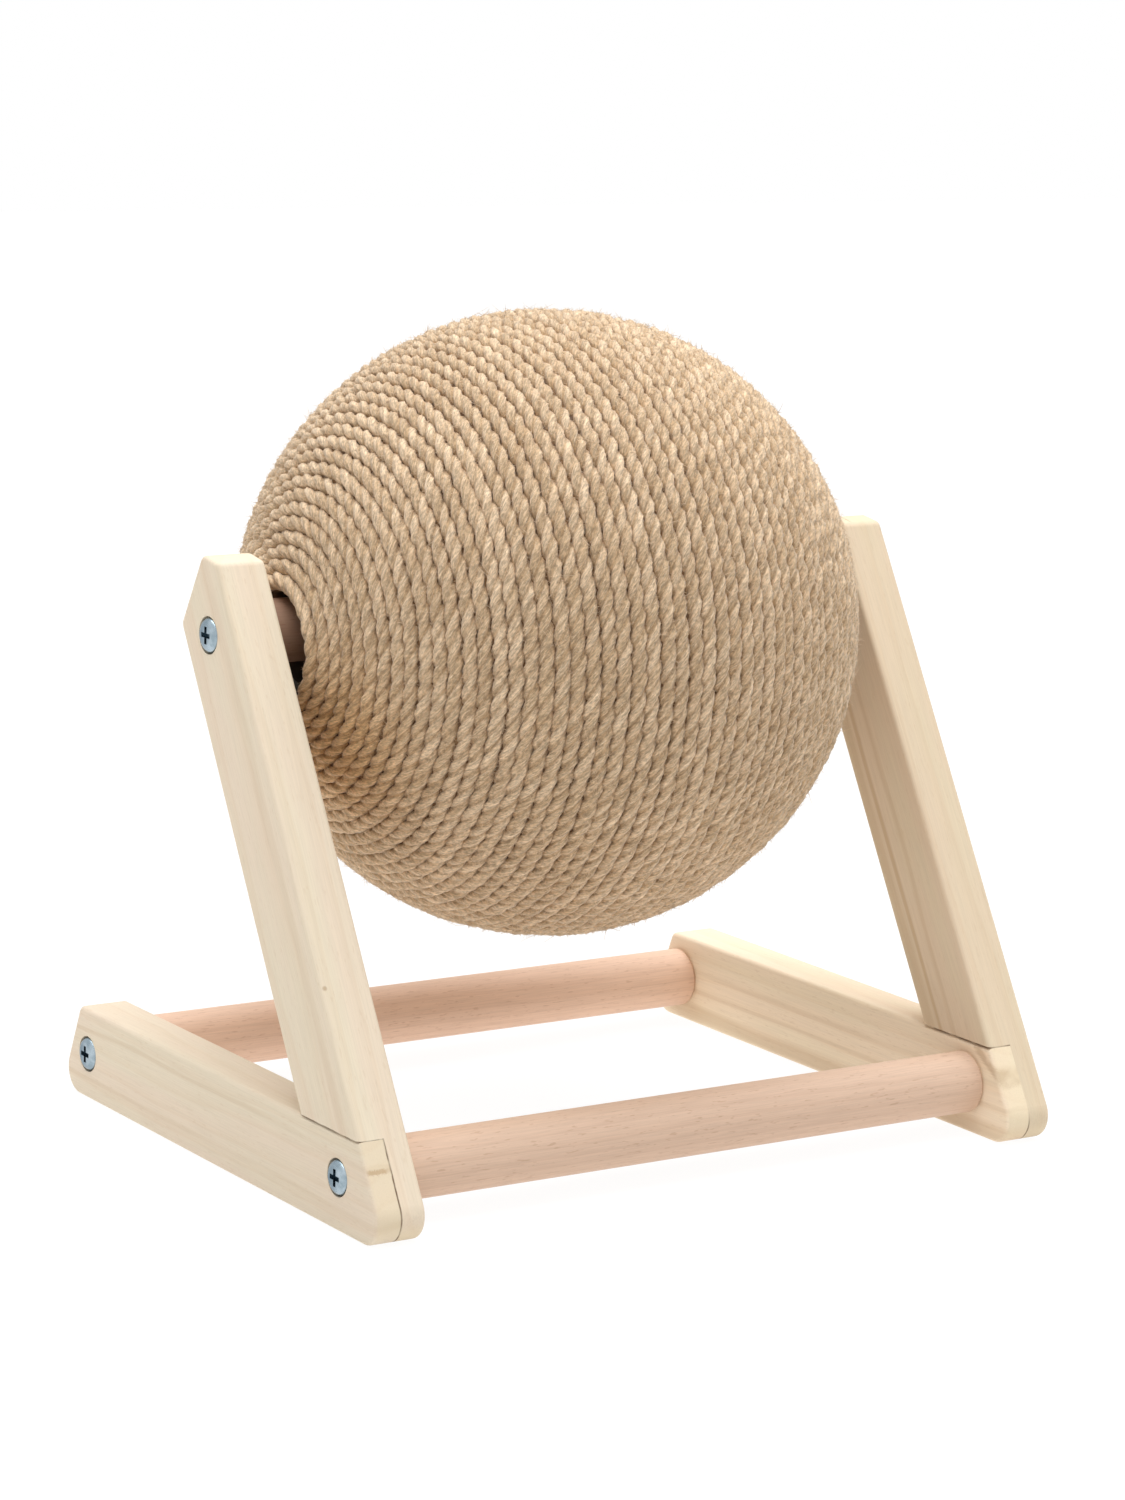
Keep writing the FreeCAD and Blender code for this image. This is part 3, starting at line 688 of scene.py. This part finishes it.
# %% Give the core plastic
CORE = ["left_core_shell", "right_core_shell", "core_sleeve"]
CORE_DARK, CORE_LIGHT, MATT_SCALE = (0.035, 0.03, 0.024), (0.06, 0.05, 0.04), 900.0
core_plastic, tree, shader = new_finish("core_plastic")
matt = noise(tree, object_place(tree), MATT_SCALE, detail=3.0)
core_color = blended(tree, ramped(tree, matt, 0.3, 0.7), CORE_DARK, CORE_LIGHT)
dress(tree, shader, core_color, ramped(tree, matt, 0.3, 0.7, 0.6, 0.8), matt, strength=0.2, depth=0.1 * MM)
for piece in CORE:
    give(piece, core_plastic)
print("plastic on", CORE)

# %% [markdown]
# ## The rope's line
#
# One length of rope starts at the left mouth and is wound side by side to the right one. On a ball such a
# line is easy to say: the angle from the left pole grows evenly while the rope goes round, by one pitch
# for each turn. The line starts at the back, so that the mouth looks round from the front. Points at
# even steps of angle would crowd near the poles, so the line is first drawn finely and then measured
# off at even steps of length.

# %% Draw the rope's line
SEED = 20
rng = np.random.default_rng(SEED)
ball_low, ball_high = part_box("rope_winding")
BALL_RADIUS = (ball_high.z - ball_low.z) / 2
BALL = np.array(frame["joints"][0]["pos_m"])
ROPE = 5.55 * MM
PITCH = 4.58 * MM
MOUTH = 15.3 * MM
START = math.pi / 2
STEP, FINE_COUNT = 1.6 * MM, 240001
LINE_RADIUS = BALL_RADIUS - ROPE / 2
first_angle = math.asin((MOUTH + PITCH / 2) / LINE_RADIUS)
turns = (math.pi - 2 * first_angle) * LINE_RADIUS / PITCH


def on_ball(share):
    """Points at a share of the winding: the angle from the left pole and the angle round grow together."""
    down = first_angle + (math.pi - 2 * first_angle) * share
    round_axis = START + 2 * math.pi * turns * share
    flat = np.sin(down)
    return np.stack([-np.cos(down), flat * np.sin(round_axis), -flat * np.cos(round_axis)], -1)


fine_share = np.linspace(0.0, 1.0, FINE_COUNT)
fine_steps = np.linalg.norm(np.diff(on_ball(fine_share) * LINE_RADIUS, axis=0), axis=1)
fine_length = np.concatenate([[0.0], np.cumsum(fine_steps)])
rope_length = fine_length[-1]
ring_count = int(rope_length / STEP) + 1
along = np.linspace(0.0, rope_length, ring_count)
outward = on_ball(np.interp(along, fine_length, fine_share))
print(f"rope: {turns:.1f} turns, {rope_length:.2f} m, {ring_count} rings")

# %% [markdown]
# ## An uneven hand
#
# A machine-perfect winding looks like a screw thread. On the real ball each turn wanders a little, lies
# a little higher or lower, and the strands are thick and thin. `wander` gives a smooth random line along
# the rope: random values at even places, joined by smooth steps. The first and last turns stand up a
# little as a rim, where they are held only by the next turn, and the two ends dive into the mouths.

# %% Let the rope wander
LIFT_WAVES = ((30 * MM, 0.22 * MM), (9 * MM, 0.11 * MM))
DRIFT_WAVES = ((40 * MM, 0.24 * MM), (14 * MM, 0.1 * MM))
DIVE, DIVE_DEPTH = 22.0 * MM, 7.5 * MM
RIM, RIM_RISE, RIM_HOLD = 180.0 * MM, 2 * MM, 0.8


def wander(*waves):
    """A sum of waves, each a spacing and a size: random values up to that size either way, at even places
    along the rope, joined by smooth steps."""
    total = 0
    for spacing, size in waves:
        knots = rng.uniform(-size, size, int(rope_length / spacing) + 3)
        place = along / spacing
        low_knot = place.astype(int)
        part = place - low_knot
        part = part * part * (3 - 2 * part)
        total = total + (knots[low_knot] * (1 - part) + knots[low_knot + 1] * part)
    return total


from_end = np.minimum(along, rope_length - along)
tuck = np.clip(1 - from_end / DIVE, 0, 1) ** 2
rim = np.exp(-((from_end / RIM) ** 2))
smooth_line = outward * LINE_RADIUS
heading = unit(np.gradient(smooth_line, axis=0))
sideways = unit(np.cross(heading, outward))
lift = wander(*LIFT_WAVES) + RIM_RISE * rim - DIVE_DEPTH * tuck
drift = wander(*DRIFT_WAVES) * (1 - RIM_HOLD * rim)
line = BALL + smooth_line + outward * lift[:, None] + sideways * drift[:, None]
heading = unit(np.gradient(line, axis=0))
outward_here = unit(outward - heading * np.sum(outward * heading, -1, keepdims=True))
sideways = np.cross(heading, outward_here)
print(f"lift {lift.min() / MM:.2f} to {lift.max() / MM:.2f} mm, drift {np.abs(drift).max() / MM:.2f} mm")

# %% [markdown]
# ## Three strands in one skin
#
# The rope is three strands laid together to the right. They could be three tubes, but then half of each
# would be hidden inside the others. Instead the skin is one tube whose section is the outline of three
# overlapping circles, and the section turns as it goes. It is wider than a turn, because wound rope is
# pressed into its neighbours: backs of strands meet, and only between them is a pit left open. The same
# numbers, before turning, say where a point lies in the straight, untwisted rope, and that is kept for
# the fibres in the material.

# %% Lay the strands
STRANDS, PER_STRAND = 3, 6
SIDES = STRANDS * PER_STRAND
HALF_STRAND = 180.0 / STRANDS
LAY = 18.75 * MM
REACH = 0.68
STRAND = ROPE / 2 / (1 + REACH)
FULLNESS, LUMPINESS, END_TAPER = 1.02, 0.045, 0.55
THICK_WAVES = ((30 * MM, 0.07), (8 * MM, 0.03))
TWIST_WAVE = (45 * MM, 0.9)
TONE_WAVES = ((120 * MM, 0.5), (22 * MM, 0.5))
strand_of = np.repeat(np.arange(STRANDS), PER_STRAND)
point_angles = -HALF_STRAND + 2 * HALF_STRAND / PER_STRAND * np.arange(PER_STRAND)
off_crest = np.radians(np.tile(point_angles, STRANDS))
section_angle = strand_of * 2 * math.pi / STRANDS + off_crest


def skin_radius(thick, off):
    """Distance from the rope's middle to a strand's round back, for an angle off its crest: the far side
    of a circle whose middle stands off the rope's middle."""
    offset = REACH * STRAND
    return offset * np.cos(off) + np.sqrt(np.maximum(thick**2 - (offset * np.sin(off)) ** 2, 0))


thickness = STRAND * (FULLNESS + np.stack([wander(*THICK_WAVES) for _ in range(STRANDS)], -1))
twist = 2 * math.pi * along / LAY + wander(TWIST_WAVE)
lumps = rng.normal(size=(ring_count, SIDES))
lumps = (lumps + np.roll(lumps, 1, axis=0) + np.roll(lumps, 2, axis=0)) / math.sqrt(3)
skin = skin_radius(thickness[:, strand_of], off_crest[None, :])
skin = skin * (1 + LUMPINESS * lumps) * (1 - END_TAPER * tuck[:, None] ** 3)
angle = section_angle[None, :] + twist[:, None]
rings = (line[:, None, :] + (skin * np.cos(angle))[..., None] * outward_here[:, None, :]
         + (skin * np.sin(angle))[..., None] * sideways[:, None, :])
straight = np.stack([skin * np.cos(section_angle), skin * np.sin(section_angle),
                     np.broadcast_to(along[:, None], skin.shape)], -1)
groove = np.broadcast_to(np.abs(off_crest)[None, :] / math.radians(HALF_STRAND), skin.shape)
tone = np.stack([wander(*TONE_WAVES) for _ in range(STRANDS)], -1)[:, strand_of]
print(f"strands of {2 * STRAND / MM:.2f} mm, laid every {LAY / MM:.0f} mm")

# %% [markdown]
# ## Jute fibre
#
# Jute is a dull plant fibre: straw on the strands' backs, browner in the grooves as painted shade, with
# fine threads along each strand, some dark and some bleached. Noise that is stretched along the untwisted
# rope gives the threads their direction, so they follow the lay however the rope bends. The group is
# shared by the rope and by its loose fibres.

# %% Build the jute group
STRAW_DARK, STRAW_LIGHT = (0.605, 0.428, 0.262), (0.806, 0.609, 0.413)
# the last of these colours is painted shade for the grooves
THREAD_DARK, THREAD_PALE, GROOVE_PAINTED_SHADE = (0.46, 0.30, 0.165), (0.93, 0.78, 0.59), (0.33, 0.185, 0.075)
JUTE_GRAIN, BLOT_GRAIN, FUZZ_GRAIN = (2.4, 0.3), (0.6, 0.09), (1.3, 0.85)
TONE_SHARE, FUZZ_SHARE, JUTE_ROUGHNESS = 0.35, 1.2, 0.65
jute_inputs = {"Straight": "Vector", "Tone": "Float", "Groove": "Float"}
fibre, given, result = new_group("jute_figure", jute_inputs, {"Color": "Color", "Thread": "Float"})
in_mm = vector_step(fibre, "MULTIPLY", given["Straight"], IN_MM)
threads = noise(fibre, stretched(fibre, in_mm, *JUTE_GRAIN), detail=3.0, roughness=JUTE_ROUGHNESS)
blots = noise(fibre, stretched(fibre, in_mm, *BLOT_GRAIN))
fuzziness = noise(fibre, stretched(fibre, in_mm, *FUZZ_GRAIN), detail=3.0, roughness=JUTE_ROUGHNESS)
mood = math_step(fibre, "ADD", math_step(fibre, "MULTIPLY", given["Tone"], TONE_SHARE), blots)
straw = blended(fibre, ramped(fibre, mood, 0.25, 0.85), STRAW_DARK, STRAW_LIGHT)
layers = [(ramped(fibre, threads, 0.34, 0.5, 0.45, 0.0), THREAD_DARK),
          (ramped(fibre, threads, 0.53, 0.7, 0.0, 0.5), THREAD_PALE),
          # painted shade: the grooves between strands and between turns are browned
          (ramped(fibre, given["Groove"], 0.4, 1.3, 0.0, 0.55), GROOVE_PAINTED_SHADE)]
for mask, color in layers:
    straw = blended(fibre, mask, straw, color)
straw = toned(fibre, straw, ramped(fibre, fuzziness, 0.28, 0.72, 0.62, 1.26))
fibre.links.new(straw, result["Color"])
thread_height = math_step(fibre, "ADD", threads, math_step(fibre, "MULTIPLY", fuzziness, FUZZ_SHARE))
fibre.links.new(thread_height, result["Thread"])
print("jute group:", len(fibre.nodes), "nodes")

# %% [markdown]
# ## Jute on the rope
#
# The material hands the group what each piece keeps for its points: the place in the straight rope, a
# tone, and how near a groove between strands is. It also browns what lies deep under the ball's surface,
# which is the groove between two turns, as painted shade. Beside the left upright the rope is painted
# browner as painted shade of the upright, and this spot turns with the ball. A little sheen stands for
# the finest hairs.

# %% Make the jute
# painted shade of the left upright, laid on the rope as a browner spot that turns with the ball
UPRIGHT_SHADE_SPOT = tuple(np.array([-97.0, -22.0, 134.0]) * MM)
UPRIGHT_SHADE_INNER, UPRIGHT_SHADE_OUTER, UPRIGHT_SHADE_BROWN = 5 * MM, 42 * MM, (0.90, 0.76, 0.57)
# how deep the rope lies sets its painted shade
DEEPEST, SHALLOWEST, DEEP_SHADE_SHARE = 1.6 * MM, 0.4 * MM, 0.95
JUTE_SHINE, SHEEN, SHEEN_ROUGHNESS, SHEEN_TINT = 0.2, 0.35, 0.5, (1.0, 0.95, 0.88, 1.0)


def jute(name):
    """Jute that follows the straight rope kept in the piece's own attributes."""
    finish, tree, shader = new_finish(name)
    straight_at, tone_at, groove_at = [put(tree, "Attribute", attribute_name=label).outputs
                                       for label in ("straight", "tone", "groove")]
    place = object_place(tree)
    from_middle = vector_step(tree, "DISTANCE", place, tuple(BALL))
    # painted shade: browner where the rope lies deep, in the groove between two turns
    deep_shade = ramped(tree, from_middle, BALL_RADIUS - DEEPEST, BALL_RADIUS - SHALLOWEST, DEEP_SHADE_SHARE, 0.0)
    either_groove = math_step(tree, "MAXIMUM", groove_at["Fac"], deep_shade)
    figure = place_group(tree, fibre, Straight=straight_at["Vector"], Tone=tone_at["Fac"],
                         Groove=either_groove)
    # the rope beside the left upright, browned as painted shade
    shaded_rope = blended(tree, 1.0, figure["Color"], UPRIGHT_SHADE_BROWN, "MULTIPLY")
    from_shade_spot = vector_step(tree, "DISTANCE", place, UPRIGHT_SHADE_SPOT)
    near_upright_shade = ramped(tree, from_shade_spot, UPRIGHT_SHADE_INNER, UPRIGHT_SHADE_OUTER, 1.0, 0.0)
    color = blended(tree, near_upright_shade, figure["Color"], shaded_rope)
    roughness = ramped(tree, figure["Thread"], 0.8, 1.4, 0.95, 0.78)
    dress(tree, shader, color, roughness, figure["Thread"], strength=0.6, depth=0.25 * MM)
    shader.inputs["Specular IOR Level"].default_value = JUTE_SHINE
    shader.inputs["Sheen Weight"].default_value = SHEEN
    shader.inputs["Sheen Roughness"].default_value = SHEEN_ROUGHNESS
    shader.inputs["Sheen Tint"].default_value = SHEEN_TINT
    return finish


rope_jute = jute("jute_rope")
print("jute:", len(rope_jute.node_tree.nodes), "nodes")

# %% [markdown]
# ## Wind the ball
#
# All the rope in one mesh would be half a million triangles, so it is cut into stretches of about equal
# length, each closed at its ends and meeting the next at a shared ring. Together they stand for the thick
# winding of the solids and turn with the ball.

# %% Make the rope's stretches
STRETCHES = ["rope_left_turns", "rope_left_middle_turns", "rope_middle_turns", "rope_right_middle_turns",
             "rope_right_turns"]


def tube_quads(rings, sides):
    """The quads of a tube whose points lie ring after ring: each joins two neighbours on two rings."""
    ring, side = np.meshgrid(np.arange(rings - 1), np.arange(sides), indexing="ij")
    near, following = ring * sides, (side + 1) % sides
    far = near + sides
    return np.stack([near + side, near + following, far + following, far + side], -1).reshape(-1, 4)


cuts = np.linspace(0, ring_count - 1, len(STRETCHES) + 1).astype(int)
for name, start, end in zip(STRETCHES, cuts[:-1], cuts[1:]):
    part = slice(start, end + 1)
    count = end + 1 - start
    caps = [np.arange(SIDES)[::-1], (count - 1) * SIDES + np.arange(SIDES)]
    rope = make_mesh(name, rings[part].reshape(-1, 3), tube_quads(count, SIDES), caps,
                     straight=straight[part].reshape(-1, 3), tone=tone[part].ravel(),
                     groove=groove[part].ravel())
    rope.data.materials.append(rope_jute)
    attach(rope, "ball")
    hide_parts("rope_winding")
    print(name, len(rope.data.polygons), "faces")

# %% [markdown]
# ## The bed under the rope
#
# Between two turns one can look past the rope to what it is glued to: a brown bed of glue and fibre dust
# over the core. It is a turned shape, a profile carried round the ball's axis: out along one mouth, over
# the ball, back in at the other mouth, and home along the inside.

# %% Turn the bed
BED_OUT, BED_IN = BALL_RADIUS - 2.3 * MM, 90.2 * MM
BED_MOUTH = MOUTH + 3.0 * MM
AROUND, ACROSS = 160, 120
GLUE_DARK, GLUE_LIGHT, GLUE_SCALE = (0.13, 0.07, 0.03), (0.26, 0.15, 0.07), 260.0


def bed_profile():
    """Height along the axis and distance from it: an outer arc from mouth to mouth, an inner arc back."""
    outer_start, inner_end = math.asin(BED_MOUTH / BED_OUT), math.asin(BED_MOUTH / BED_IN)
    outer = np.linspace(outer_start, math.pi - outer_start, ACROSS)
    inner = np.linspace(math.pi - inner_end, inner_end, ACROSS)
    along_axis = np.concatenate([-np.cos(outer) * BED_OUT, -np.cos(inner) * BED_IN])
    off_axis = np.concatenate([np.sin(outer) * BED_OUT, np.sin(inner) * BED_IN])
    return along_axis, off_axis


bed_along, bed_off = bed_profile()
bed_angle = np.linspace(0, 2 * math.pi, AROUND, endpoint=False)[:, None]
bed_points = np.stack([np.broadcast_to(bed_along, (AROUND, len(bed_along))),
                       np.sin(bed_angle) * bed_off, -np.cos(bed_angle) * bed_off], -1) + BALL
bed_quads = tube_quads(AROUND + 1, len(bed_along)) % (AROUND * len(bed_along))
bed = make_mesh("glue_bed", bed_points.reshape(-1, 3), bed_quads)
glue, tree, shader = new_finish("brown_glue")
clots = noise(tree, object_place(tree), GLUE_SCALE, detail=4.0)
glue_color = blended(tree, ramped(tree, clots, 0.35, 0.65), GLUE_DARK, GLUE_LIGHT)
dress(tree, shader, glue_color, ramped(tree, clots, 0.3, 0.7, 0.6, 0.9), clots, strength=0.5, depth=0.4 * MM)
bed.data.materials.append(glue)
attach(bed, "ball")
print("glue bed", len(bed.data.polygons), "faces")

# %% [markdown]
# ## Loose fibres
#
# Jute is hairy: short fibres lie over the strands everywhere, and some stand off and soften the ball's
# outline. Each is a thin bent spike, three-sided, that starts inside the skin. All of them are worked out
# together, as arrays with one row for each fibre. A few are long, but none of those stands near the poles.

# %% Make the loose fibres
BARE_RINGS, OUTER_SIDE = 40, 1.35
ROOT_THICKNESS, ROOT_DEPTH = 0.97, 0.93
FIBRES = 14000
SPIKE, TRIANGLE = np.linspace(0.0, 1.0, 3), np.arange(3) * 2 * math.pi / 3
SHORT_FIBRE, LONG_FIBRE, CURL, SLIP = 1.3, 5.0, 0.35, 0.8
LONG_LEAN, LONG_WIDTH, TIP_TAPER = 0.6, 0.35, 0.7
FIBRE_HALF_WIDTH, FIBRE_STAND, FIBRE_TONE = (0.055, 0.095), (0.05, 0.6), (0.6, 1.8)


def rooted(count):
    """Random places on the rope's outer side: the ring of each, its way out, and its root under the skin."""
    root = rng.integers(BARE_RINGS, ring_count - BARE_RINGS, count)
    lean_round = rng.uniform(-OUTER_SIDE, OUTER_SIDE, count)
    half = math.pi / STRANDS
    off = (lean_round - twist[root] + half) % (2 * half) - half
    stem = np.cos(lean_round)[:, None] * outward_here[root] + np.sin(lean_round)[:, None] * sideways[root]
    depth = skin_radius(STRAND * ROOT_THICKNESS, off) * ROOT_DEPTH
    return root, stem, line[root] + stem * depth[:, None]


def laid_over(root, upright, slip):
    """Ways of fibres that stand up by a vector each and lie at random along the rope and across it."""
    upright = upright + heading[root] * rng.uniform(-1, 1, (len(root), 1))
    return unit(upright + sideways[root] * rng.uniform(-slip, slip, (len(root), 1)))


root, stem, base = rooted(FIBRES)
long = rng.uniform(0, 1, FIBRES) ** 3 * (1 - np.abs(outward[root, 0]) ** 6)
standing_up = rng.uniform(*FIBRE_STAND, FIBRES) * (1 - LONG_LEAN * long)
way = laid_over(root, stem * standing_up[:, None], SLIP)
curl = unit(rng.normal(size=(FIBRES, 3)))
reach = ((SHORT_FIBRE + LONG_FIBRE * long) * MM)[:, None]
spine = (base[:, None] + way[:, None] * (reach * SPIKE)[..., None]
         + curl[:, None] * (CURL * reach * SPIKE**2)[..., None])
across_way = unit(np.cross(way, curl))
third_way = np.cross(way, across_way)
half_width = rng.uniform(*FIBRE_HALF_WIDTH, FIBRES) * (1 + LONG_WIDTH * long)
half_width = (half_width[:, None] * (1 - TIP_TAPER * SPIKE) * MM)[..., None]
fibre_points = (spine[:, :, None] + (half_width * np.cos(TRIANGLE))[..., None] * across_way[:, None, None]
                + (half_width * np.sin(TRIANGLE))[..., None] * third_way[:, None, None]).reshape(-1, 3)
per_fibre = len(SPIKE) * 3
first_point = np.arange(FIBRES)[:, None] * per_fibre
fibre_quads = (first_point[..., None] + tube_quads(len(SPIKE), 3)).reshape(-1, 4)
tips = first_point + per_fibre - 3 + np.arange(3)
roots = first_point + np.arange(3)[::-1]
fibre_tone = np.repeat(rng.uniform(*FIBRE_TONE, FIBRES), per_fibre)
loose = make_mesh("loose_fibres", fibre_points, fibre_quads, [*tips, *roots], straight=fibre_points,
                  tone=fibre_tone, groove=np.zeros(len(fibre_points)))
loose.data.materials.append(rope_jute)
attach(loose, "ball")
print("loose fibres", len(loose.data.polygons), "faces")

# %% [markdown]
# ## Fine fuzz
#
# Under the loose fibres lies a finer fuzz of broken ends. Straight on it hardly shows, but near the
# ball's outline one looks through a lot of it, and it softens the rope there. There are so many hairs
# that each is only a needle with four faces: a tiny three-cornered root and one tip.

# %% Make the fine fuzz
HAIRS = 48000
HAIR_HALF_WIDTH, HAIR_LENGTH, HAIR_STAND = (0.06, 0.1), (1.0, 2.8), (0.2, 1.0)
NEEDLE = np.array([[0, 1, 3], [1, 2, 3], [2, 0, 3], [2, 1, 0]])
root, stem, base = rooted(HAIRS)
way = laid_over(root, stem * rng.uniform(*HAIR_STAND, (HAIRS, 1)), slip=1)
across_way = unit(np.cross(way, rng.normal(size=(HAIRS, 3))))
third_way = np.cross(way, across_way)
foot = np.cos(TRIANGLE)[:, None] * across_way[:, None] + np.sin(TRIANGLE)[:, None] * third_way[:, None]
feet = base[:, None] + rng.uniform(*HAIR_HALF_WIDTH, (HAIRS, 1, 1)) * MM * foot
tip = base + way * rng.uniform(*HAIR_LENGTH, (HAIRS, 1)) * MM
hair_points = np.concatenate([feet, tip[:, None]], axis=1).reshape(-1, 3)
hair_faces = (4 * np.arange(HAIRS)[:, None, None] + NEEDLE).reshape(-1, 3)
hair_tone = np.repeat(rng.uniform(*FIBRE_TONE, HAIRS), 4)
hair = make_mesh("fine_fuzz", hair_points, hair_faces, straight=hair_points, tone=hair_tone,
                 groove=np.zeros(len(hair_points)))
hair.data.materials.append(rope_jute)
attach(hair, "ball")
print("fine fuzz", len(hair.data.polygons), "faces")
